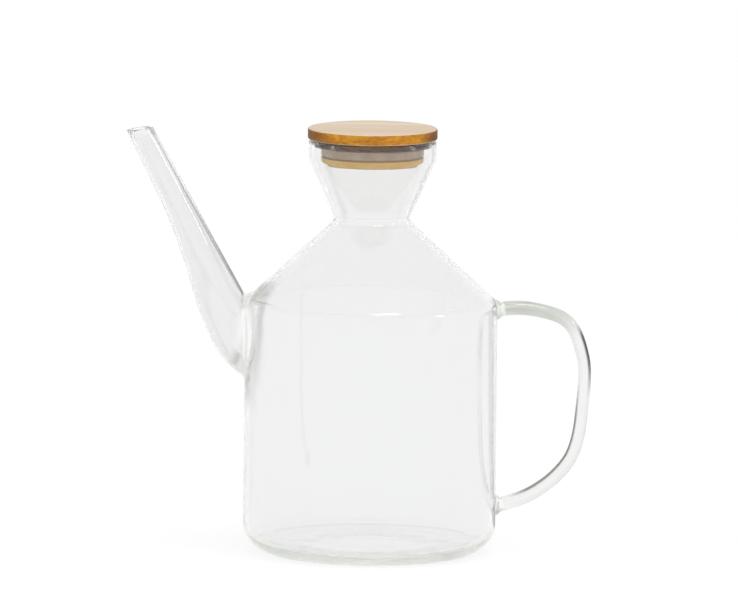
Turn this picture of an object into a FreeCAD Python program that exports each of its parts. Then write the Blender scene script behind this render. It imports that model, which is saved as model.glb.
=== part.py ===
import FreeCAD, Part
import math
import os

# Oil bottle: a blown glass body with a long pouring spout and a solid rod
# handle fused to it, closed by a bamboo lid that a silicone ring seals.
# Millimetres.  +Z is up, the origin is on the body's axis at the level that
# the bottle stands on, the spout points to -X and the handle to +X.

# Body
body_diameter = 110.0
body_wall = 2.3
shoulder_height = 110.2     # where the straight wall meets the cone
shoulder_round = 6.0
waist_diameter = 32.0
waist_height = 146.2
waist_round = 2.0
mouth_diameter = 55.6
mouth_height = 181.5
collar_height = 8.8         # straight band below the mouth
collar_round = 7.0
base_round = 14.0
base_thickness = 4.2
floor_round = 9.0
push_up = 1.0               # how far the underside is raised inside its foot
push_up_run = 12.0          # from the foot's inner edge to the raised flat
push_up_round = 6.0
foot_width = 5.0
foot_round = 3.0

# Spout
spout_root_diameter = 36.6
spout_root_height = 95.0    # height of the root's centre on the wall
spout_wall = 1.7
spout_tip_reach = 101.3     # from the body's axis to the tip's centre
spout_tip_height = 185.0
spout_tip_diameter = 11.6
spout_tip_tilt = 8.0        # degrees, the cut tip rises towards the bottle
spout_stations = 12
spout_lean = 1.35           # above 1, sections crowd up the spout's upper edge
spout_root_stand = 0.3      # the stub stands this far off the wall
spout_root_run = 9.0        # and reaches this far into it before it is bored
root_bead = 1.3             # radius of the fused bead round the root
bead_sink = 1.6             # the bead's centre lies this far inside the wall

# Lower edge of the spout, as shares of its reach and rise from root to tip
spout_belly = (
    (0.0, 0.0),
    (0.186, 0.083),
    (0.361, 0.246),
    (0.488, 0.441),
    (0.664, 0.668),
    (0.833, 0.836),
    (1.0, 1.0),
)

# Handle
handle_rod = 6.3
handle_pinch = 0.8          # the rod draws thinner round its upper bend
handle_reach = 93.2         # from the body's axis to the rod's farthest centre
handle_top = 107.0
handle_bottom = 21.4
handle_stations = 24
handle_bead = 1.2
bead_stand = 0.8            # the bead's centre stands this far off the wall

# Lid and ring
lid_overhang = 0.4          # the disc reaches this far past the mouth
lid_thickness = 4.7
lid_round = 0.8
plug_gap = 3.2              # between the plug and the mouth, which the ring fills
plug_depth = 10.6
plug_lip = 2.8
plug_neck = 2.5             # plain plug between the disc and the ring
groove_depth = 2.0
ring_lift = 0.8             # the ring sits this far above the groove's foot
ring_fin_rise = 3.2         # and its fin starts this far above the ring's foot
ring_fin_stand = 0.4        # its lower edge stands this far past the plug
ring_band = 2.0
ring_edge = 0.5
ring_clearance = 0.1

body_radius = body_diameter / 2
waist_radius = waist_diameter / 2
mouth_radius = mouth_diameter / 2
mouth_bore = mouth_radius - body_wall
rim_round = body_wall / 2 - 0.02   # nearly a full round, with a sliver of flat
spout_root_radius = spout_root_diameter / 2
lid_radius = mouth_radius + lid_overhang
plug_radius = mouth_bore - plug_gap
plug_core = plug_radius - groove_depth
plug_foot = mouth_height - plug_depth
groove_foot = plug_foot + plug_lip
groove_top = mouth_height - plug_neck

X = FreeCAD.Vector(1, 0, 0)
Y = FreeCAD.Vector(0, 1, 0)
Z = FreeCAD.Vector(0, 0, 1)


def side(x, z):
    """A point of the upright plane that spout and handle lie in."""
    return FreeCAD.Vector(x, 0, z)


spout_root_end = side(-body_radius - spout_root_stand, spout_root_height)


def rounded(before, corner, after, radius):
    """Start, middle and end of the arc that rounds one corner."""
    to_before = (before - corner).normalize()
    to_after = (after - corner).normalize()
    half = to_before.getAngle(to_after) / 2
    start = corner + to_before * (radius / math.tan(half))
    end = corner + to_after * (radius / math.tan(half))
    inward = (to_before + to_after).normalize()
    middle = corner + inward * (radius / math.sin(half) - radius)
    return start, middle, end


def turned(corners):
    """Solid of revolution from (radius, height, rounding) corners."""
    points = [side(radius, height) for radius, height, _ in corners]
    edges = []
    first = last = None
    for index, point in enumerate(points):
        rounding = corners[index][2]
        start = end = point
        if rounding:
            after = points[(index + 1) % len(points)]
            start, middle, end = rounded(points[index - 1], point, after, rounding)
        if last is not None:
            edges.append(Part.makeLine(last, start))
        if rounding:
            edges.append(Part.Arc(start, middle, end).toShape())
        first = start if first is None else first
        last = end
    edges.append(Part.makeLine(last, first))
    face = Part.Face(Part.Wire(edges))
    return face.revolve(side(0, 0), Z, 360)


def inset(lower, upper, thickness, height):
    """Radius at a height of a wall's inner line, from two outer points."""
    run = upper[0] - lower[0]
    rise = upper[1] - lower[1]
    outer = lower[0] + run * (height - lower[1]) / rise
    return outer - thickness * math.hypot(run, rise) / rise


def meeting(first, second, thickness):
    """Where the inner lines of two neighbouring walls cross."""
    low, high = first[1][1] - 20, first[1][1] + 20
    gap_low = inset(*first, thickness, low) - inset(*second, thickness, low)
    gap_high = inset(*first, thickness, high) - inset(*second, thickness, high)
    height = low + (high - low) * gap_low / (gap_low - gap_high)
    return inset(*first, thickness, height), height


base = (body_radius, 0)
shoulder = (body_radius, shoulder_height)
waist = (waist_radius, waist_height)
collar = (mouth_radius, mouth_height - collar_height)
mouth = (mouth_radius, mouth_height)


def body_outside():
    foot_inner = body_radius - base_round - foot_width
    return turned([
        (0, push_up, 0),
        (foot_inner - push_up_run, push_up, push_up_round),
        (foot_inner, 0, foot_round),
        (*base, base_round),
        (*shoulder, shoulder_round),
        (*waist, waist_round),
        (*collar, collar_round),
        (*mouth, rim_round),
        (0, mouth_height, 0),
    ])


def body_inside():
    """The hollow, open at the top, where it flares to round the rim."""
    above = mouth_height + 5
    inner = body_radius - body_wall
    return turned([
        (0, base_thickness, 0),
        (inner, base_thickness, floor_round),
        (*meeting((base, shoulder), (shoulder, waist), body_wall), shoulder_round - body_wall),
        (*meeting((shoulder, waist), (waist, collar), body_wall), waist_round + body_wall),
        (*meeting((waist, collar), (collar, mouth), body_wall), collar_round - body_wall),
        (mouth_bore, mouth_height, rim_round),
        (mouth_radius + 5, mouth_height, 0),
        (mouth_radius + 5, above, 0),
        (0, above, 0),
    ])


def spout_edges(share):
    """Lower and upper end of one section, from the root (0) to the tip (1)."""
    half_tip = side(
        math.cos(math.radians(spout_tip_tilt)),
        math.sin(math.radians(spout_tip_tilt)),
    ) * (spout_tip_diameter / 2)
    tip = side(-spout_tip_reach, spout_tip_height)
    low = spout_root_end - Z * spout_root_radius
    high = spout_root_end + Z * spout_root_radius
    span = tip - half_tip - low
    swell = Part.BSplineCurve()
    swell.interpolate([low + side(span.x * out, span.z * up) for out, up in spout_belly])
    along = swell.FirstParameter + (swell.LastParameter - swell.FirstParameter) * share
    return swell.value(along), high + (tip + half_tip - high) * share**spout_lean


def section(low, high, wall):
    """Round section across two facing edge points, drawn in by a wall."""
    centre = (low + high) * 0.5
    reach = (high - centre).normalize() * ((high - centre).Length - wall)
    beside = Y * reach.Length
    ring = Part.Circle(centre + beside, centre - reach, centre - beside)
    return Part.Wire(ring.toShape().toNurbs().Edges)


def spout_form(wall, overrun):
    """Round sections between the two edges, drawn in by a wall."""
    ends = [spout_edges(station / spout_stations) for station in range(spout_stations + 1)]
    if overrun:
        low, high = ends[-1]
        onward = (low + high - ends[-2][0] - ends[-2][1]).normalize() * overrun
        ends.append((low + onward, high + onward))
    return Part.makeLoft([section(low, high, wall) for low, high in ends], True, False)


def spout_tube():
    """The free part of the spout, bored right through its tip."""
    return spout_form(0, 0).cut(spout_form(spout_wall, spout_tip_diameter))


def spout_root(wall):
    """Short round stub that carries the spout through the body's wall."""
    length = spout_root_stand + spout_root_run
    return Part.makeCylinder(spout_root_radius - wall, length, spout_root_end, X)


def spout_bead():
    """Fused bead round the spout's root."""
    seat = spout_root_end + X * (spout_root_stand + bead_sink)
    return Part.makeTorus(spout_root_radius, root_bead, seat, X)


def handle_route():
    """Centre line of the rod: out from the shoulder, round and back in."""
    reach = handle_reach - body_radius
    drop = handle_top - handle_bottom
    shape = (
        (-0.05, 0.0),
        (0.42, -0.004),
        (0.80, 0.055),
        (0.985, 0.235),
        (0.985, 0.47),
        (0.83, 0.765),
        (0.44, 0.93),
        (-0.05, 1.005),
    )
    points = [side(body_radius + out * reach, handle_top - down * drop) for out, down in shape]
    line = Part.BSplineCurve()
    line.interpolate(points)
    return line


def handle_solid():
    line = handle_route()
    first, last = line.FirstParameter, line.LastParameter
    rings = []
    for station in range(handle_stations + 1):
        share = station / handle_stations
        at = first + (last - first) * share
        pinch = handle_pinch * math.sin(math.pi * share)**2
        outward = line.tangent(at)[0].cross(Y) * ((handle_rod - pinch) / 2)
        rings.append(section(line.value(at) - outward, line.value(at) + outward, 0))
    rod = Part.makeLoft(rings, True, False)
    beads = []
    for at in (first, last):
        away = line.tangent(at)[0]
        seat = line.value(at) + away * ((body_radius + bead_stand - line.value(at).x) / away.x)
        beads.append(Part.makeTorus(handle_rod / 2, handle_bead, seat, away))
    return [rod, *beads]


def glass_bottle():
    outside = body_outside().fuse([spout_root(0), spout_bead(), *handle_solid()])
    hollow = outside.cut([body_inside(), spout_root(spout_wall)])
    return hollow.fuse(spout_tube())


def bamboo_lid():
    top = mouth_height + lid_thickness
    return turned([
        (0, top, 0),
        (lid_radius, top, lid_round),
        (lid_radius, mouth_height, lid_round),
        (plug_radius, mouth_height, 0),
        (plug_radius, groove_top, 0.3),
        (plug_core, groove_top, 0),
        (plug_core, groove_foot, 0),
        (plug_radius, groove_foot, 0.4),
        (plug_radius, plug_foot, 0.6),
        (0, plug_foot, 0),
    ])


def silicone_ring():
    band = plug_core + ring_band
    fin_root = plug_radius + ring_fin_stand
    fin = mouth_bore - ring_clearance
    foot = groove_foot + ring_lift
    return turned([
        (plug_core, foot, 0),
        (band, foot, 0.3),
        (band, foot + ring_fin_rise, 0.2),
        (fin_root, foot + ring_fin_rise, 0.3),
        (fin, groove_top - ring_edge, 0.2),
        (fin, groove_top, 0.2),
        (plug_core, groove_top, 0),
    ])


os.makedirs("parts", exist_ok=True)
nodes = {
    "glass_bottle": glass_bottle,
    "bamboo_lid": bamboo_lid,
    "silicone_ring": silicone_ring,
}
for name, make in nodes.items():
    shape = make()
    solid = shape.Solids[0] if len(shape.Solids) == 1 else shape
    print(name, len(shape.Solids), shape.isValid(), round(shape.Volume / 1000, 2), "cm3")
    solid.exportStep(f"parts/{name}.step")
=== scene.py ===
import math

import bmesh
import bpy
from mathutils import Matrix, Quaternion, Vector, noise


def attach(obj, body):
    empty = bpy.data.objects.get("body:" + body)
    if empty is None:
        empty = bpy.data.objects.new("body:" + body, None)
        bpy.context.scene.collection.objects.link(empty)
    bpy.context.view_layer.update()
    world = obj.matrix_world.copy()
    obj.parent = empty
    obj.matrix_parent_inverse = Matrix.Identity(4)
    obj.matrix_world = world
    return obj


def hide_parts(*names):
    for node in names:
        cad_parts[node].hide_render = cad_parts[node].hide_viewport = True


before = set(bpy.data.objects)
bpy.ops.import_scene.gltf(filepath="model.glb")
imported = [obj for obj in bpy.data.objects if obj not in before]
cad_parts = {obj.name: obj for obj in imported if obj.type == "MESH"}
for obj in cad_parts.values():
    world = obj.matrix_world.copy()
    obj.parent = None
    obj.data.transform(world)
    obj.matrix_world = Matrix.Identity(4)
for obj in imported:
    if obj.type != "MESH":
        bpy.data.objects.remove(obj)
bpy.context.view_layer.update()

# The bottle's sizes, in metres, as its solids have them; only the handle's
# bend is drawn a little tighter, to stay inside its solid's box.  +X is the
# handle's side, -X the spout's, and the origin is on the body's axis at its foot.
mm = 0.001

body_radius = 0.055
body_wall = 0.0023
shoulder_height = 0.1102
shoulder_round = 0.006
waist_radius = 0.016
waist_height = 0.1462
waist_round = 0.002
mouth_radius = 0.0278
mouth_height = 0.1815
collar_height = 0.0088
collar_round = 0.007
base_round = 0.014
base_thickness = 0.0042
floor_round = 0.009
push_up = 0.001
foot_width = 0.005

spout_root_radius = 0.0183
spout_root_height = 0.095
spout_root_stand = 0.0003
spout_wall = 0.0017
spout_tip_reach = 0.1013
spout_tip_height = 0.185
spout_tip_radius = 0.0058
spout_tip_tilt = 8.0
spout_lean = 1.35            # above 1, sections crowd up the upper edge
spout_belly = (
    (0.0, 0.0),
    (0.186, 0.083),
    (0.361, 0.246),
    (0.488, 0.441),
    (0.664, 0.668),
    (0.833, 0.836),
    (1.0, 1.0),
)

handle_rod = 0.0063
handle_pinch = 0.0008
handle_reach = 0.0932
handle_top = 0.107
handle_bottom = 0.0214
handle_bend = (
    (-0.05, 0.0),
    (0.42, -0.004),
    (0.80, 0.058),
    (0.979, 0.235),
    (0.979, 0.47),
    (0.83, 0.765),
    (0.44, 0.93),
    (-0.05, 1.005),
)

lid_radius = 0.0282
lid_thickness = 0.0047
plug_radius = 0.0223
plug_depth = 0.0106
plug_lip = 0.0028
plug_neck = 0.0025
groove_depth = 0.002
ring_band = 0.002
ring_lift = 0.0008
ring_fin_rise = 0.0032
ring_fin_stand = 0.0004
ring_edge = 0.0005
ring_clearance = 0.0001

# How finely the glass is drawn, and how far it wavers
columns = 192
spout_steps = 80
rod_steps = 120
ripple = 0.05 * mm

# Where its surface is marked, beside its beads: the heel's soft bead and a thin ring of painted shade
# on the inner floor
heel_top = 0.013
painted_floor_line_radius = 0.0485

lift = Vector((0, 0, 1))
beside = Vector((0, 1, 0))


# ---------------------------------------------------------------- node maths

class Link:
    """A node's output; arithmetic on it adds the nodes that do the sum."""

    def __init__(self, tree, socket):
        self.tree = tree
        self.socket = socket

    def __getitem__(self, name):
        return Link(self.tree, self.socket.node.outputs[name])

    def sum(self, operation, *values):
        return self.tree.add("ShaderNodeMath", {"operation": operation}, dict(enumerate(values)))

    def __add__(self, other):
        return self.sum("ADD", self, other)

    def __radd__(self, other):
        return self.sum("ADD", other, self)

    def __sub__(self, other):
        return self.sum("SUBTRACT", self, other)

    def __rsub__(self, other):
        return self.sum("SUBTRACT", other, self)

    def __mul__(self, other):
        return self.sum("MULTIPLY", self, other)

    def __rmul__(self, other):
        return self.sum("MULTIPLY", other, self)

    def __gt__(self, other):
        return self.sum("GREATER_THAN", self, other)

    def most(self, other):
        return self.sum("MAXIMUM", self, other)

    def ramp(self, low, high):
        """0 below one value of it and 1 above the other, with soft ends."""
        settings = {"interpolation_type": "SMOOTHSTEP"}
        values = {"Value": self, "From Min": low, "From Max": high, "To Min": 0.0, "To Max": 1.0}
        return self.tree.add("ShaderNodeMapRange", settings, values)


class Tree:
    """A material's or the world's nodes, emptied, with one way to add more."""

    def __init__(self, owner):
        owner.use_nodes = True
        self.nodes = owner.node_tree.nodes
        self.links = owner.node_tree.links
        self.nodes.clear()

    def add(self, kind, settings=None, values=None):
        node = self.nodes.new(kind)
        for name, setting in (settings or {}).items():
            if name == "stops":
                self.stops(node.color_ramp.elements, setting)
            else:
                setattr(node, name, setting)
        for name, value in (values or {}).items():
            socket = node.inputs[name]
            if isinstance(value, Link):
                self.links.new(value.socket, socket)
            else:
                socket.default_value = value
        shown = [socket for socket in node.outputs if socket.enabled]
        return Link(self, shown[0]) if shown else None

    def stops(self, elements, stops):
        while len(elements) < len(stops):
            elements.new(1.0)
        for element, (place, colour) in zip(elements, stops):
            element.position = place
            element.color = (*colour, 1.0)

    def mix(self, share, first, second):
        """Colour between two colours."""
        settings = {"data_type": "RGBA"}
        return self.add("ShaderNodeMix", settings, {0: share, 6: first, 7: second})

    def mark(self, name):
        """A number that the mesh carries at its points."""
        return self.add("ShaderNodeAttribute", {"attribute_name": name})["Fac"]

    def place(self):
        return self.add("ShaderNodeTexCoord")["Object"]

    def noise(self, where, scale, detail=2.0, roughness=0.5, distortion=0.0):
        values = {"Vector": where, "Scale": scale, "Detail": detail}
        values |= {"Roughness": roughness, "Distortion": distortion}
        return self.add("ShaderNodeTexNoise", None, values)

    def stretched(self, where, x, y, z):
        values = {"Vector": where, "Scale": (x, y, z)}
        return self.add("ShaderNodeMapping", None, values)

    def mirrored(self):
        """1 for what the outside of the glass mirrors, 0 for all else."""
        path = self.add("ShaderNodeLightPath")
        return (path["Glossy Depth"] > 0.5) * (1.0 - (path["Transmission Depth"] > 0.5))

    def shader(self, values):
        return self.add("ShaderNodeBsdfPrincipled", None, values)

    def surface(self, shader):
        self.add("ShaderNodeOutputMaterial", None, {"Surface": shader})


def material(name):
    made = bpy.data.materials.new(name)
    return made, Tree(made)


# ------------------------------------------------------------------- finishes

def clear_glass():
    """Clear borosilicate, faintly green where it is thick.

    The mesh says where it is tinted grey and where painted shade darkens it,
    where a line of painted shade runs in it and where it is a soft bead, which
    is partly see-through so that it doesn't turn dark.
    """
    made, tree = material("clear_glass")
    thread = tree.add("ShaderNodeCombineXYZ", None, {
        0: tree.mark("across") * 2.6, 1: tree.mark("over") * 2.6, 2: tree.mark("along") * 7.0,
    })
    streak = tree.noise(thread, 1.0, 3.0, 0.6).ramp(0.3, 0.7)
    # Painted shade: grey-green darkening over the rod's top run and on a ring of the inner floor,
    # beside the glass's own light tint
    smoke = tree.mark("smoke") * (0.5 + 0.5 * streak)
    glass = tree.shader({
        "Base Color": tree.mix(smoke, (0.935, 0.935, 0.94, 1.0), (0.34, 0.36, 0.29, 1.0)),
        "Roughness": 0.0,
        "Coat Weight": 1.0,
        "Coat Roughness": 0.1,
        "Coat IOR": 1.35,
        "IOR": 1.473,
        "Transmission Weight": 1.0,
        "Alpha": 1.0 - 0.7 * tree.mark("bead"),
    })
    # Painted shade: a near-black shader laid along lines where the glass only looks dark, over the
    # spout's top and along the rod
    line = tree.shader({
        "Base Color": (0.035, 0.038, 0.028, 1.0),
        "Roughness": 0.3,
        "IOR": 1.45,
    })
    dark = tree.mark("line") * (0.8 + 0.2 * streak)
    surface = tree.add("ShaderNodeMixShader", None, {0: dark, 1: glass, 2: line})
    inside = tree.add("ShaderNodeVolumeAbsorption", None, {
        "Color": (0.86, 0.90, 0.80, 1.0), "Density": 20.0,
    })
    tree.add("ShaderNodeOutputMaterial", None, {"Surface": surface, "Volume": inside})
    return made


def bamboo():
    """Laminated bamboo: pale strips on top, honey sides, and dark end grain that is also painted shade
    on the ends.

    The plug's foot, below the ring, is fresher wood; above it the neck under the disc takes the darker
    edge colour as painted shade.
    """
    made, tree = material("bamboo")
    place = tree.place()
    parts = tree.add("ShaderNodeSeparateXYZ", None, {0: place})
    strip = tree.add("ShaderNodeMath", {"operation": "FLOOR"}, {0: parts["Y"] * 190.0})
    shade = tree.add("ShaderNodeTexWhiteNoise", {"noise_dimensions": "1D"}, {"W": strip})
    fibre = tree.noise(tree.stretched(place, 60.0, 1500.0, 1500.0), 1.0, 4.0, 0.6)
    broad = tree.noise(tree.stretched(place, 18.0, 260.0, 260.0), 1.0, 3.0, 0.6)
    pale = tree.add("ShaderNodeValToRGB", {"stops": (
        (0.2, (0.56, 0.43, 0.29)),
        (0.5, (0.68, 0.545, 0.41)),
        (0.8, (0.77, 0.65, 0.51)),
    )}, {0: fibre * 0.5 + broad * 0.3 + shade * 0.2})
    pore = tree.noise(tree.stretched(place, 420.0, 420.0, 900.0), 1.0, 5.0, 0.7)
    burnt = tree.noise(tree.stretched(place, 60.0, 60.0, 240.0), 1.0, 3.0, 0.6, 0.6)
    grain = pore * 0.45 + burnt * 0.55
    honey = tree.add("ShaderNodeValToRGB", {"stops": (
        (0.25, (0.10, 0.028, 0.001)),
        (0.42, (0.34, 0.12, 0.005)),
        (0.58, (0.56, 0.255, 0.016)),
        (0.82, (0.80, 0.50, 0.14)),
    )}, {0: grain})
    end_grain_and_painted_shade = tree.add("ShaderNodeValToRGB", {"stops": (
        (0.3, (0.06, 0.016, 0.001)),
        (0.55, (0.16, 0.055, 0.004)),
        (0.8, (0.30, 0.13, 0.015)),
    )}, {0: grain})
    facing = tree.add("ShaderNodeSeparateXYZ", None, {0: tree.add("ShaderNodeNewGeometry")["Normal"]})
    side = 1.0 - (facing["Z"] * facing["Z"]).ramp(0.12, 0.75)
    # Dark at the ends facing ±X: partly real end grain, partly painted shade where those ends turn
    # from the light
    end = (facing["X"] * facing["X"]).ramp(0.35, 0.95)
    # The neck under the disc keeps the darker edge colour as painted shade; the plug below it is
    # fresher wood
    foot = 1.0 - (parts["Z"] > mouth_height - plug_neck - 1.0 * mm)
    fresh = tree.mix(grain.ramp(0.3, 0.7), (0.87, 0.48, 0.10, 1.0), (0.98, 0.64, 0.16, 1.0))
    rim = tree.mix(foot, tree.mix(end, honey, end_grain_and_painted_shade), fresh)
    colour = tree.mix(side, pale, rim)
    bump = tree.add("ShaderNodeBump", None, {
        "Strength": 0.25, "Distance": 0.0002, "Height": fibre * 0.6 + pore * 0.4,
    })
    tree.surface(tree.shader({
        "Base Color": colour,
        "Roughness": 0.42 + 0.2 * fibre,
        "Normal": bump,
        "IOR": 1.45,
        "Specular IOR Level": 0.3,
    }))
    return made


def silicone():
    """Warm grey silicone; its upward faces and thin fin, under the lid, are painted dark brown as
    shade.
    """
    made, tree = material("grey_silicone")
    place = tree.place()
    cloud = tree.noise(place, 260.0, 3.0)
    speck = tree.noise(place, 2400.0, 2.0)
    grey = tree.mix(cloud.ramp(0.3, 0.7), (0.50, 0.36, 0.25, 1.0), (0.63, 0.46, 0.325, 1.0))
    facing = tree.add("ShaderNodeSeparateXYZ", None, {0: tree.add("ShaderNodeNewGeometry")["Normal"]})
    height = tree.add("ShaderNodeSeparateXYZ", None, {0: place})["Z"]
    # Painted shade: the fin and the upward faces under the lid go dark brown
    fin = height > mouth_height - plug_neck - ring_edge - 0.35 * mm
    painted_shade = facing["Z"].ramp(0.3, 0.8).most(fin)
    bump = tree.add("ShaderNodeBump", None, {
        "Strength": 0.15, "Distance": 0.0001, "Height": speck,
    })
    tree.surface(tree.shader({
        "Base Color": tree.mix(painted_shade, grey, (0.09, 0.018, 0.001, 1.0)),
        "Roughness": 0.38 + 0.15 * cloud,
        "Normal": bump,
        "IOR": 1.41,
    }))
    return made


# ---------------------------------------------------------------- mesh helpers

def piece(name, points, faces, finish, node):
    """A smooth mesh piece that stands for a node of the frame."""
    mesh = bpy.data.meshes.new(name)
    mesh.from_pydata([tuple(point) for point in points], [], faces)
    mesh.validate()
    mesh.update()
    made = bpy.data.objects.new(name, mesh)
    bpy.context.scene.collection.objects.link(made)
    for polygon in mesh.polygons:
        polygon.use_smooth = True
    mesh.materials.append(finish)
    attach(made, "root")
    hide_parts(node)
    return made


def rounded(corners, fine):
    """Outline through (radius, height, rounding) corners, its arcs in small steps."""
    outline = []
    last = len(corners) - 1
    for index, (radius, height, rounding) in enumerate(corners):
        point = Vector((radius, height))
        if not rounding or index in (0, last):
            outline.append(point)
            continue
        to_before = (Vector(corners[index - 1][:2]) - point).normalized()
        to_after = (Vector(corners[index + 1][:2]) - point).normalized()
        half = to_before.angle(to_after) / 2
        centre = point + (to_before + to_after).normalized() * (rounding / math.sin(half))
        start = point + to_before * (rounding / math.tan(half)) - centre
        end = point + to_after * (rounding / math.tan(half)) - centre
        turn = start.angle(end)
        steps = max(3, round(turn * rounding / fine))
        for step in range(steps + 1):
            share = step / steps
            spoke = start * math.sin(turn * (1 - share)) + end * math.sin(turn * share)
            outline.append(centre + spoke / math.sin(turn))
    return outline


def spaced(outline, gap):
    """The outline with its long straight runs divided."""
    points = [outline[0]]
    for point in outline[1:]:
        start = points[-1]
        steps = max(1, math.ceil((point - start).length / gap - 0.2))
        points += [start.lerp(point, step / steps) for step in range(1, steps + 1)]
    return points


def smooth_line(points, count):
    """Evenly spread points of a smooth line through the given ones."""
    spans = [(second - first).length for first, second in zip(points, points[1:])]
    slopes = []
    for index in range(len(points)):
        if index == 0:
            ahead = (points[1] - points[0]) / spans[0]
            beyond = (points[2] - points[1]) / spans[1]
            slopes.append(ahead + (ahead - beyond) * 0.4)
        elif index == len(points) - 1:
            ahead = (points[-1] - points[-2]) / spans[-1]
            before = (points[-2] - points[-3]) / spans[-2]
            slopes.append(ahead + (ahead - before) * 0.4)
        else:
            before = (points[index] - points[index - 1]) / spans[index - 1]
            ahead = (points[index + 1] - points[index]) / spans[index]
            lean = spans[index - 1] / (spans[index - 1] + spans[index])
            slopes.append(before.lerp(ahead, lean))
    total = sum(spans)
    line = []
    for step in range(count + 1):
        along = total * step / count
        index = 0
        while index < len(spans) - 1 and along > spans[index]:
            along -= spans[index]
            index += 1
        span = spans[index]
        share = min(1.0, along / span)
        square, cube = share**2, share**3
        line.append(
            points[index] * (2 * cube - 3 * square + 1)
            + slopes[index] * (cube - 2 * square + share) * span
            + points[index + 1] * (3 * square - 2 * cube)
            + slopes[index + 1] * (cube - square) * span
        )
    return line


def inset(lower, upper, height):
    """Radius at a height of the wall's inner line, from two outer points."""
    run = upper[0] - lower[0]
    rise = upper[1] - lower[1]
    outer = lower[0] + run * (height - lower[1]) / rise
    return outer - body_wall * math.hypot(run, rise) / rise


def meeting(low, middle, high):
    """Where the inner lines of two neighbouring walls cross."""
    first = middle[1] - 0.02
    second = middle[1] + 0.02
    gap_low = inset(low, middle, first) - inset(middle, high, first)
    gap_high = inset(low, middle, second) - inset(middle, high, second)
    height = first + (second - first) * gap_low / (gap_low - gap_high)
    return inset(low, middle, height), height


def fade(share):
    """0 to 1 with soft ends, and flat beyond them."""
    share = min(1.0, max(0.0, share))
    return share * share * (3 - 2 * share)


# ------------------------------------------------------------------- the glass

base = (body_radius, 0.0)
shoulder = (body_radius, shoulder_height)
waist = (waist_radius, waist_height)
collar = (mouth_radius, mouth_height - collar_height)
mouth = (mouth_radius, mouth_height)
rim_round = body_wall / 2 - 0.02 * mm


def outer_outline():
    """The glass's outside, from the axis underneath up to the rim."""
    foot_inner = body_radius - base_round - foot_width
    corners = [
        (0.0, push_up, 0),
        (foot_inner - 12.0 * mm, push_up, 6.0 * mm),
        (foot_inner, 0.0, 3.0 * mm),
        (*base, base_round),
        (*shoulder, shoulder_round),
        (*waist, waist_round),
        (*collar, collar_round),
        (*mouth, rim_round),
        (mouth_radius - body_wall / 2, mouth_height, 0),
    ]
    return spaced(rounded(corners, 0.6 * mm), 1.5 * mm)


def inner_outline():
    """The glass's inside, from the rim down to the axis at the floor."""
    inner = body_radius - body_wall
    corners = [
        (mouth_radius - body_wall / 2 - 0.01 * mm, mouth_height, 0),
        (mouth_radius - body_wall, mouth_height, rim_round),
        (*meeting(waist, collar, mouth), collar_round - body_wall),
        (*meeting(shoulder, waist, collar), waist_round + body_wall),
        (*meeting(base, shoulder, waist), shoulder_round - body_wall),
        (inner, base_thickness, floor_round),
        (0.0, base_thickness, 0),
    ]
    return spaced(rounded(corners, 0.6 * mm), 1.5 * mm)


def circle(radius, height):
    """One row of a turned grid, in as many points as the grid has columns."""
    turns = [math.tau * column / columns for column in range(columns)]
    return [Vector((radius * math.cos(turn), radius * math.sin(turn), height)) for turn in turns]


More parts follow.
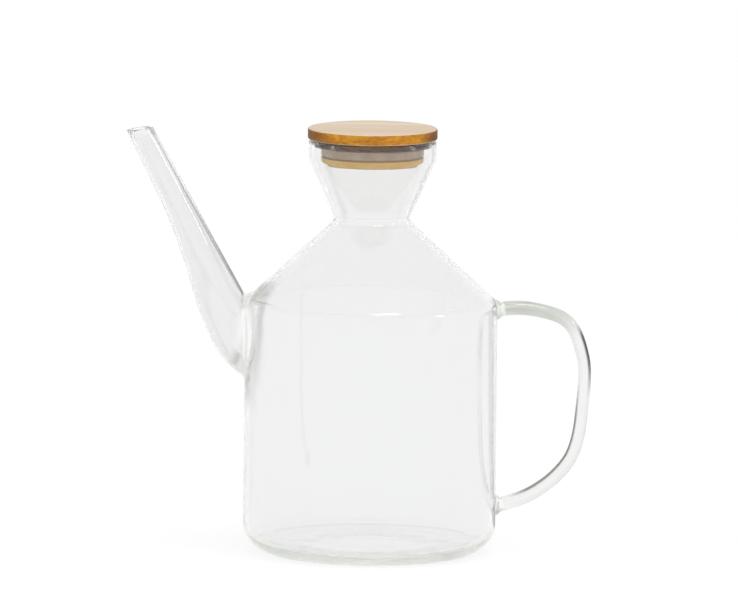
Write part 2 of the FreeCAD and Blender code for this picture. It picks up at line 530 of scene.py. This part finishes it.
class Skin:
    """The glass surface: a turned grid with ports where tubes join it."""

    def __init__(self, outline, outer):
        self.rows = [point.copy() for point in outline[1:-1]]
        self.points = []
        for radius, height in self.rows:
            self.points += circle(radius, height)
        self.ends = (Vector((0, 0, outline[0].y)), Vector((0, 0, outline[-1].y)))
        self.closed = set()
        self.marks = {name: {} for name in ("smoke", "line", "bead", "along", "across", "over")}
        self.normals = {}
        for row in range(len(self.rows)):
            before, after = outline[row], outline[row + 2]
            if 0 < row < len(self.rows) - 1:
                before, after = self.rows[row - 1], self.rows[row + 1]
            radius, height = self.rows[row]
            soft = 0.75 * fade((heel_top - height) / (8.0 * mm)) if row < outer else 0.0
            soft = max(soft, 0.8 * fade((height - mouth_height + 2.0 * mm) / mm))
            low = row > outer and height < 8.0 * mm
            # A thin ring of painted shade on the inner floor
            on_painted_floor_line = low and abs(radius - painted_floor_line_radius) < 0.45 * mm
            for column in range(columns):
                index = self.index(row, column)
                self.normals[index] = self.across(before, after)
                self.marks["bead"][index] = soft
                self.marks["smoke"][index] = 0.3 if on_painted_floor_line else 0.0

    def index(self, row, column):
        return row * columns + column % columns

    def across(self, before, after):
        """Outward direction (radius, height) of the outline between two points."""
        way = (after - before).normalized()
        return Vector((way.y, -way.x))

    def stretch(self, first, last, low, high, nearest):
        """Rows of a stretch between two heights that keep off the axis."""
        return [
            row for row in range(first, last)
            if low < self.rows[row].y < high and self.rows[row].x > nearest
        ]

    def wall(self, rows):
        """Function that gives the wall's radius at a height, from some rows."""
        line = sorted((self.rows[row].y, self.rows[row].x) for row in rows)

        def radius(height):
            for (low, first), (high, second) in zip(line, line[1:]):
                if height <= high:
                    return first + (second - first) * (height - low) / (high - low)
            return line[-1][1]
        return radius

    def slope(self, rows, height):
        """The wall's outward direction at a height, from some rows."""
        near = sorted(rows, key=lambda row: abs(self.rows[row].y - height))[:2]
        first, second = (self.normals[self.index(row, columns // 4)] for row in near)
        low, high = (self.rows[row].y for row in near)
        share = min(1.0, max(0.0, (height - low) / (high - low)))
        return first.lerp(second, share).normalized()

    def port(self, rows, side, height, radius, tall, half, reach):
        """Opens a round port in the wall and draws the grid round it.

        The port takes the place of a patch of quads, tall rows high and twice
        half wide, and its edge runs round the port in equal steps.  The grid is
        drawn towards it over reach times the patch's size.
        """
        wall = self.wall(rows)
        rising = 1 if self.rows[rows[1]].y > self.rows[rows[0]].y else -1
        foot = min(rows, key=lambda row: abs(self.rows[row].y - height + radius * 1.15))
        middle = min(rows, key=lambda row: abs(self.rows[row].y - height))
        down = abs(middle - foot)
        up = tall - down
        centre = 0 if side > 0 else columns // 2
        total = 4 * half + 2 * tall

        def on_wall(y, z):
            return Vector((side * math.sqrt(wall(z)**2 - y**2), y, z))

        def at(u, v):
            return self.index(middle + rising * v, centre + side * u)

        def bearing(a, b, far):
            a, b = a / far, b / far
            climb = (1 + b) * down if b < 0 else down + b * up
            if b == -1:
                steps = (a + 1) * half
            elif a == 1:
                steps = 2 * half + climb
            elif b == 1:
                steps = 2 * half + tall + (1 - a) * half
            else:
                steps = 4 * half + 2 * tall - climb
            return math.tau * steps / total - math.pi * 0.75

        for u in range(-half * reach, half * reach + 1):
            for v in range(-down * reach, up * reach + 1):
                a = u / half
                b = v / (up if v > 0 else down)
                far = max(abs(a), abs(b))
                if far < 1:
                    continue
                angle = bearing(a, b, far)
                out = radius * (1 + (far - 1) * 0.5)
                spot = on_wall(out * math.cos(angle), height + out * math.sin(angle))
                index = at(u, v)
                keep = fade((far - 1) / (reach - 1))
                self.points[index] = spot.lerp(self.points[index], keep)
                self.normals[index] = self.slope(rows, self.points[index].z)
                soft = 1.0 - fade((far - 1) * 1.6)
                self.marks["bead"][index] = max(self.marks["bead"][index], soft)
        for u in range(-half, half):
            for v in range(-down, up):
                row = middle + v if rising > 0 else middle - v - 1
                column = centre + u if side > 0 else centre - u - 1
                self.closed.add((row, column % columns))
        loop = [(u, -down) for u in range(-half, half)]
        loop += [(half, v) for v in range(-down, up)]
        loop += [(u, up) for u in range(half, -half, -1)]
        loop += [(-half, v) for v in range(up, -down, -1)]
        angles = [math.tau * step / total - math.pi * 0.75 for step in range(total)]
        return [at(u, v) for u, v in loop], angles, on_wall

    def ring(self, points, **marks):
        """New points, with one number for each mark that they carry."""
        first = len(self.points)
        self.points += points
        new = list(range(first, len(self.points)))
        for name, value in marks.items():
            self.marks[name].update((index, value) for index in new)
        return new

    def faces(self, bands):
        """The grid's quads, its two end fans and the bands between rings."""
        faces = []
        for row in range(len(self.rows) - 1):
            for column in range(columns):
                if (row, column) in self.closed:
                    continue
                faces.append((
                    self.index(row, column), self.index(row, column + 1),
                    self.index(row + 1, column + 1), self.index(row + 1, column),
                ))
        first, last = self.ring(self.ends)
        for column in range(columns):
            faces.append((first, self.index(0, column + 1), self.index(0, column)))
            row = len(self.rows) - 1
            faces.append((last, self.index(row, column), self.index(row, column + 1)))
        for lower, upper in bands:
            count = len(lower)
            for index in range(count):
                after = (index + 1) % count
                faces.append((lower[index], lower[after], upper[after], upper[index]))
        return faces


def tip_edge(way):
    """Lower (-1) or upper (1) edge point of the cut tip."""
    tilt = math.radians(spout_tip_tilt)
    tip = Vector((-spout_tip_reach, 0, spout_tip_height))
    return tip + Vector((math.cos(tilt), 0, math.sin(tilt))) * spout_tip_radius * way


def spout_sections(stations):
    """(low, high) facing edge points of the spout, from its root to its tip."""
    root = Vector((-body_radius - spout_root_stand, 0, spout_root_height))
    low = root - lift * spout_root_radius
    high = root + lift * spout_root_radius
    span = tip_edge(-1) - low
    belly = [low + Vector((span.x * out, 0, span.z * up)) for out, up in spout_belly]
    lower = smooth_line(belly, stations)
    climb = [(step / stations)**spout_lean for step in range(stations + 1)]
    upper = [high.lerp(tip_edge(1), share) for share in climb]
    return list(zip(lower, upper))


def spout_ring(low, high, angles, wall, wave):
    """Round section across two facing edge points, drawn in by a wall."""
    centre = (low + high) / 2
    reach = (high - low).normalized()
    radius = (high - low).length / 2 - wall
    points = []
    for angle in angles:
        spoke = reach * math.sin(angle) + beside * math.cos(angle)
        shift = wave * noise.noise((centre + spoke * radius) * 55)
        points.append(centre + spoke * (radius + shift))
    return points


def root_bead(skin, angles, on_wall, wall, steps):
    """Rings of the bead at the spout's root, ever farther off the wall."""
    rings = []
    for out, stand in steps:
        spread = spout_root_radius - wall + out
        ring = []
        for angle in angles:
            seat = on_wall(spread * math.cos(angle), spout_root_height + spread * math.sin(angle))
            room = max(0.02 * mm, seat.x + body_radius + 0.25 * mm)
            ring.append(seat - Vector((min(stand, room * stand / (1.6 * mm)), 0, 0)))
        rings.append(skin.ring(ring, bead=1.0))
    return rings


def painted_spout_shade_line(share, angle):
    """A line of painted shade along the spout's top, thinner towards its tip."""
    width = 0.02 + 0.075 * (1 - share)**2
    edge = fade((math.sin(angle) - 1 + width) / width * 1.6)
    return edge * (0.8 - 0.4 * share) * fade(share / 0.05)


def spout_tube(skin, sections, angles, wall):
    """Rings of the spout's outside, or of its bore where a wall is given."""
    rings = []
    for step, (low, high) in enumerate(sections):
        share = step / (len(sections) - 1)
        points = spout_ring(low, high, angles, wall, ripple if wall else 0.0)
        ends = max(1.0 - fade(share / 0.08), 0.6 * fade((share - 0.96) / 0.03))
        new = skin.ring(points, along=share, smoke=0.05, bead=ends)
        for point, angle in zip(new, angles):
            skin.marks["across"][point] = math.cos(angle)
            skin.marks["over"][point] = math.sin(angle)
            # The spout's outside carries a line of painted shade along its top
            if not wall:
                skin.marks["line"][point] = painted_spout_shade_line(share, angle)
        rings.append(new)
    return rings


def spout_lip(skin, sections, angles):
    """Rings of the rounded edge between the spout's outside and its bore."""
    low, high = sections[-1]
    onward = (low + high - sections[-2][0] - sections[-2][1]).normalized()
    rings = []
    for share in (0.2, 0.5, 0.8):
        swell = onward * 0.14 * mm * math.sin(math.pi * share)
        lip = spout_ring(low, high, angles, spout_wall * share, 0.0)
        rings.append(skin.ring([point + swell for point in lip], bead=1.0))
    return rings


def spout(skin, outer_rows, inner_rows):
    """Joins the spout's outside and bore to the body and closes the tip."""
    sections = spout_sections(spout_steps)
    outside_bead = (
        (1.0 * mm, 0.35 * mm), (0.75 * mm, 0.9 * mm), (0.3 * mm, 1.25 * mm), (0.05 * mm, 1.5 * mm),
    )
    bore_bead = ((-0.2 * mm, 0.5 * mm), (-0.1 * mm, 1.2 * mm))
    bands = []
    mouths = []
    for rows, wall, foot, bead in (
        (outer_rows, 0.0, 1.5 * mm, outside_bead),
        (inner_rows, spout_wall, 0.0, bore_bead),
    ):
        radius = spout_root_radius - wall + foot
        loop, angles, on_wall = skin.port(rows, -1, spout_root_height, radius, 32, 10, 2)
        rings = [loop]
        rings += root_bead(skin, angles, on_wall, wall, bead)
        rings += spout_tube(skin, sections, angles, wall)
        bands += zip(rings, rings[1:])
        mouths.append(rings[-1])
    outside, bore = mouths
    rings = [outside, *spout_lip(skin, sections, angles), bore]
    bands += zip(rings, rings[1:])
    return bands


def handle_line():
    """Centre line of the rod, out of the shoulder, round and back in."""
    reach = handle_reach - body_radius
    drop = handle_top - handle_bottom
    bend = [
        Vector((body_radius + out * reach, 0, handle_top - down * drop))
        for out, down in handle_bend
    ]
    return smooth_line(bend, rod_steps)


def rod_rings(skin, line, angles):
    """Rings of the rod where it stands clear of the wall."""
    clear = [
        station for station in range(1, len(line) - 1)
        if line[station].x >= body_radius + 2.2 * mm
    ]
    rings = []
    for step, station in enumerate(clear):
        centre = line[station]
        along = (line[station + 1] - line[station - 1]).normalized()
        upward = along.cross(beside)
        pinch = handle_pinch * math.sin(math.pi * station / (len(line) - 1))**2
        radius = (handle_rod - pinch) / 2
        share = step / (len(clear) - 1)
        ring = []
        for angle in angles:
            spoke = beside * math.cos(angle) + upward * math.sin(angle)
            shift = ripple * noise.noise(Vector((along.x, along.z, angle)) * 3 + centre * 90)
            ring.append(centre + spoke * (radius + shift))
        new = skin.ring(ring, along=share, bead=0.8 if share in (0.0, 1.0) else 0.0)
        for point, angle in zip(new, angles):
            # Grey tint all along, with painted shade over the top run
            skin.marks["smoke"][point] = rod_tint_and_painted_shade(share, angle)
            # A line of painted shade along the rod
            skin.marks["line"][point] = painted_rod_shade_line(share, angle)
            skin.marks["across"][point] = math.cos(angle)
            skin.marks["over"][point] = math.sin(angle)
        rings.append(new)
    return rings


def handle(skin, outer_rows):
    """The bent rod between its two beads on the wall."""
    line = handle_line()
    foot = handle_rod / 2 + 1.5 * mm
    seats = []
    for height in (line[2].z, line[-3].z):
        loop, angles, on_wall = skin.port(outer_rows, 1, height, foot, 8, 4, 3)
        seats.append((loop, on_wall, height))
    rod = rod_rings(skin, line, angles)
    bands = list(zip(rod, rod[1:]))
    bead = ((1.35 * mm, 0.5 * mm), (1.15 * mm, 1.0 * mm), (0.7 * mm, 1.5 * mm), (0.2 * mm, 1.75 * mm))
    for (loop, on_wall, height), near in zip(seats, (rod[0], matched(rod[-1], angles))):
        rings = [loop]
        for out, stand in bead:
            spread = handle_rod / 2 + out
            ring = []
            for angle in angles:
                seat = on_wall(spread * math.cos(angle), height + spread * math.sin(angle))
                ring.append(seat + Vector((stand, 0, 0)))
            rings.append(skin.ring(ring, bead=1.0))
        rings.append(near)
        bands += zip(rings, rings[1:])
    return bands


def rod_tint_and_painted_shade(share, angle):
    """How grey the rod is: a little tint all along, and much painted shade over its top run."""
    return 0.10 + 0.60 * fade((math.sin(angle) + 0.9) / 0.25) * fade((0.31 - share) / 0.13)


def painted_rod_shade_line(share, angle):
    """A line of painted shade on the rod: outside the bend, then on its inner side."""
    outside = math.sin(angle)
    outer = fade((outside - 0.45) / 0.25) * fade((share - 0.24) / 0.06) * fade((0.52 - share) / 0.16)
    inner = fade((-outside - 0.62) / 0.18) * fade((share - 0.40) / 0.20) * fade((0.985 - share) / 0.10)
    return max(outer, 0.85 * inner)


def matched(ring, angles):
    """The ring's points in the order that mirrors its angles."""
    order = []
    for angle in angles:
        want = -angle
        best = min(
            range(len(angles)),
            key=lambda index: abs((angles[index] - want + math.pi) % math.tau - math.pi),
        )
        order.append(ring[best])
    return order


def glass_bottle(finish):
    """One closed skin: body inside and out, spout with its bore, and handle."""
    outside = outer_outline()
    inside = inner_outline()
    split = len(outside) - 1
    skin = Skin(outside + inside, split)
    outer_rows = skin.stretch(0, split, 2.0 * mm, 145.5 * mm, 16.5 * mm)
    inner_rows = skin.stretch(split, len(skin.rows), 16.0 * mm, 145.5 * mm, 15.5 * mm)
    bands = spout(skin, outer_rows, inner_rows) + handle(skin, outer_rows)
    faces = skin.faces(bands)
    used = sorted({index for face in faces for index in face})
    new = {old: count for count, old in enumerate(used)}
    points = [skin.points[index] for index in used]
    faces = [tuple(new[index] for index in face) for face in faces]
    made = piece("glass", points, faces, finish, "glass_bottle")
    outward(made)
    for name, values in skin.marks.items():
        layer = made.data.attributes.new(name, "FLOAT", "POINT")
        layer.data.foreach_set("value", [values.get(index, 0.0) for index in used])
    normals = [vertex.normal.copy() for vertex in made.data.vertices]
    for count, index in enumerate(used):
        if index in skin.normals:
            across = skin.normals[index]
            spoke = Vector((points[count].x, points[count].y, 0)).normalized()
            normals[count] = (spoke * across.x + lift * across.y).normalized()
    made.data.normals_split_custom_set_from_vertices(normals)
    return made


def outward(made):
    """Turns every face of a closed mesh outward."""
    work = bmesh.new()
    work.from_mesh(made.data)
    bmesh.ops.recalc_face_normals(work, faces=work.faces)
    work.to_mesh(made.data)
    work.free()


# ------------------------------------------------------------- lid and ring

def turned_piece(name, corners, fine, gap, finish, node, hollow=False):
    """A turned piece; a hollow one closes on itself and leaves the axis free."""
    outline = spaced(rounded(corners, fine), gap)
    rows = outline if hollow else outline[1:-1]
    points = []
    for radius, height in rows:
        points += circle(radius, height)
    faces = []
    for row in range(len(rows) if hollow else len(rows) - 1):
        here, above = row * columns, (row + 1) % len(rows) * columns
        for column in range(columns):
            after = (column + 1) % columns
            faces.append((here + column, here + after, above + after, above + column))
    if not hollow:
        first, last = len(points), len(points) + 1
        points += [Vector((0, 0, outline[0].y)), Vector((0, 0, outline[-1].y))]
        under = (len(rows) - 1) * columns
        for column in range(columns):
            after = (column + 1) % columns
            faces.append((first, after, column))
            faces.append((last, under + column, under + after))
    made = piece(name, points, faces, finish, node)
    outward(made)
    return made


def bamboo_lid(finish):
    """Disc and grooved plug, turned in one."""
    top = mouth_height + lid_thickness
    groove_foot = mouth_height - plug_depth + plug_lip
    groove_top = mouth_height - plug_neck
    plug_foot = mouth_height - plug_depth
    core = plug_radius - groove_depth
    return turned_piece("lid", [
        (0.0, top, 0),
        (lid_radius, top, 0.7 * mm),
        (lid_radius, mouth_height, 0.7 * mm),
        (plug_radius, mouth_height, 0.15 * mm),
        (plug_radius, groove_top, 0.25 * mm),
        (core, groove_top, 0.15 * mm),
        (core, groove_foot, 0.15 * mm),
        (plug_radius, groove_foot, 0.35 * mm),
        (plug_radius, plug_foot, 0.6 * mm),
        (0.0, plug_foot, 0),
    ], 0.12 * mm, 1.5 * mm, finish, "bamboo_lid")


def silicone_ring(finish):
    """The ring in the plug's groove, with the fin that nearly meets the glass."""
    groove_foot = mouth_height - plug_depth + plug_lip
    groove_top = mouth_height - plug_neck
    core = plug_radius - groove_depth
    fin = mouth_radius - body_wall - ring_clearance
    foot = groove_foot + ring_lift
    return turned_piece("ring", [
        (core, foot, 0),
        (core + ring_band, foot, 0.3 * mm),
        (core + ring_band, foot + ring_fin_rise, 0.2 * mm),
        (plug_radius + ring_fin_stand, foot + ring_fin_rise, 0.3 * mm),
        (fin, groove_top - ring_edge, 0.2 * mm),
        (fin, groove_top - 0.02 * mm, 0.2 * mm),
        (core, groove_top - 0.02 * mm, 0),
    ], 0.08 * mm, 1.0 * mm, finish, "silicone_ring", hollow=True)


def cards(tree, x, y):
    """How much dark cards on the floor behind the bottle leave of its shine."""
    around = tree.add("ShaderNodeMath", {"operation": "ARCTAN2"}, {0: x, 1: y})
    right = around.ramp(0.50, 0.58) * (1.0 - around.ramp(0.78, 0.86))
    near = around.ramp(0.05, 0.20) * (1.0 - around.ramp(0.78, 0.86))
    left = (0.0 - around).ramp(0.35, 0.50) * (1.0 - (0.0 - around).ramp(0.95, 1.10))
    return 1.0 - 0.45 * right - 0.1 * near - 0.1 * left


def studio():
    """White behind the bottle, with a soft fill from the front and above.

    What the outside of the glass mirrors is a dimmer room.
    """
    world = bpy.data.worlds.new("studio")
    bpy.context.scene.world = world
    tree = Tree(world)
    path = tree.add("ShaderNodeLightPath")
    white = path["Is Camera Ray"].most(path["Is Transmission Ray"])
    mirrored = tree.mirrored()
    way = tree.add("ShaderNodeTexCoord")["Generated"]
    high = tree.add("ShaderNodeSeparateXYZ", None, {0: way})["Z"]
    room = 0.95 - 0.15 * high.ramp(0.1, 0.6)
    front = tree.add("ShaderNodeVectorMath", {"operation": "DOT_PRODUCT"}, {
        0: way, 1: (0.1, -0.7, 0.7),
    })
    fill = 0.35 + 1.2 * front.most(0.0)
    seen = white + (1.0 - white) * fill
    strength = mirrored * room + (1.0 - mirrored) * seen
    light = tree.add("ShaderNodeBackground", None, {"Color": (1, 1, 1, 1), "Strength": strength})
    tree.add("ShaderNodeOutputWorld", None, {"Surface": light})


def floor():
    """A white floor just under the foot, with the bottle's faint shadow."""
    mesh = bpy.data.meshes.new("floor")
    size = 6.0
    low = -0.05 * mm
    corners = [(-size, -size, low), (size, -size, low), (size, size, low), (-size, size, low)]
    mesh.from_pydata(corners, [], [(0, 1, 2, 3)])
    made = bpy.data.objects.new("floor", mesh)
    bpy.context.scene.collection.objects.link(made)
    finish, tree = material("floor")
    pale = tree.add("ShaderNodeBsdfDiffuse", None, {"Color": (0.16, 0.16, 0.16, 1)})
    glow = tree.add("ShaderNodeEmission", None, {"Color": (1, 1, 1, 1), "Strength": 0.86})
    bright = tree.add("ShaderNodeAddShader", None, {0: pale, 1: glow})
    parts = tree.add("ShaderNodeSeparateXYZ", None, {0: tree.place()})
    room = 0.95 * cards(tree, parts["X"], parts["Y"])
    dim = tree.add("ShaderNodeEmission", None, {"Color": (1, 1, 1, 1), "Strength": room})
    tree.surface(tree.add("ShaderNodeMixShader", None, {0: tree.mirrored(), 1: bright, 2: dim}))
    mesh.materials.append(finish)


def softbox(name, azimuth, elevation, distance, width, height, power):
    """An area light that faces the bottle; azimuth 0 is in front of it.

    It isn't seen through the glass, only mirrored by it.
    """
    lamp = bpy.data.lights.new(name, "AREA")
    lamp.shape = "RECTANGLE"
    lamp.size = width
    lamp.size_y = height
    lamp.energy = power
    made = bpy.data.objects.new(name, lamp)
    bpy.context.scene.collection.objects.link(made)
    around, above = math.radians(azimuth), math.radians(elevation)
    level = Vector((math.sin(around), -math.cos(around), 0))
    way = level * math.cos(above) + lift * math.sin(above)
    made.location = Vector((0, 0, 0.1)) + way * distance
    made.visible_transmission = False
    made.rotation_euler = way.to_track_quat("Z", "Y").to_euler()


def camera():
    """A long lens, a little above the bottle, rolled by half a degree."""
    lens = bpy.data.cameras.new("camera")
    lens.sensor_width = 36.0
    lens.lens = 896.9
    lens.clip_end = 100.0
    made = bpy.data.objects.new("camera", lens)
    bpy.context.scene.collection.objects.link(made)
    tilt = math.radians(7.35)
    away = Vector((0, -math.cos(tilt), math.sin(tilt)))
    up = Vector((0, math.sin(tilt), math.cos(tilt)))
    aim = Vector((-0.0009, 0, 0.085)) + up * 0.02297
    made.location = aim + away * 8.0
    roll = Quaternion(away, math.radians(0.549))
    made.rotation_euler = (roll @ away.to_track_quat("Z", "Y")).to_euler()
    bpy.context.scene.camera = made


glass_finish = clear_glass()
bamboo_finish = bamboo()
silicone_finish = silicone()
glass_bottle(glass_finish)
bamboo_lid(bamboo_finish)
silicone_ring(silicone_finish)
studio()
floor()
softbox("key", 26, 68, 1.3, 0.38, 0.30, 2.2)
softbox("side", 71, 29, 1.3, 0.18, 0.15, 0.7)
camera()
bpy.context.scene.view_settings.view_transform = "Standard"
for bounces in ("max_bounces", "glossy_bounces", "transmission_bounces"):
    setattr(bpy.context.scene.cycles, bounces, 32)
